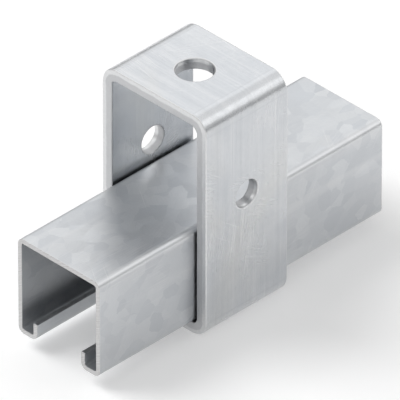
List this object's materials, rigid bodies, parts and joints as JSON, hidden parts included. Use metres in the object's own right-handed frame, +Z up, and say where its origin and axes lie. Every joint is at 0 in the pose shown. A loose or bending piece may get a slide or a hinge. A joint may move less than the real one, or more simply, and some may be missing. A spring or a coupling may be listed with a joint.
{
  "type": "strut channel hanger bracket",
  "caption": "Bent plate bracket with holes in its top and legs, whose inturned lower lips hook under the flanges of a length of lipped strut channel that runs through it.",
  "frame": {"origin": "under the middle of the channel's length, centred across it, on the surface that the bracket's two lower lips stand on", "axes": "+X along the channel towards its longer overhang, +Y across it, +Z up from the bracket's lips to its holed top; the channel's slot faces -Z"},
  "size_m": [0.1432, 0.0524, 0.0953],
  "materials": {
    "zinc_plated_plate": "bright zinc plating over bent and punched steel plate, satin, with sheared edges",
    "galvanised_strip": "pre-galvanised roll-formed strip, satin with a faint spangle, bare steel at the sawn ends"
  },
  "bodies": {
    "root": {"hanger_bracket": "zinc_plated_plate", "strut_channel": "galvanised_strip"}
  },
  "joints": []
}
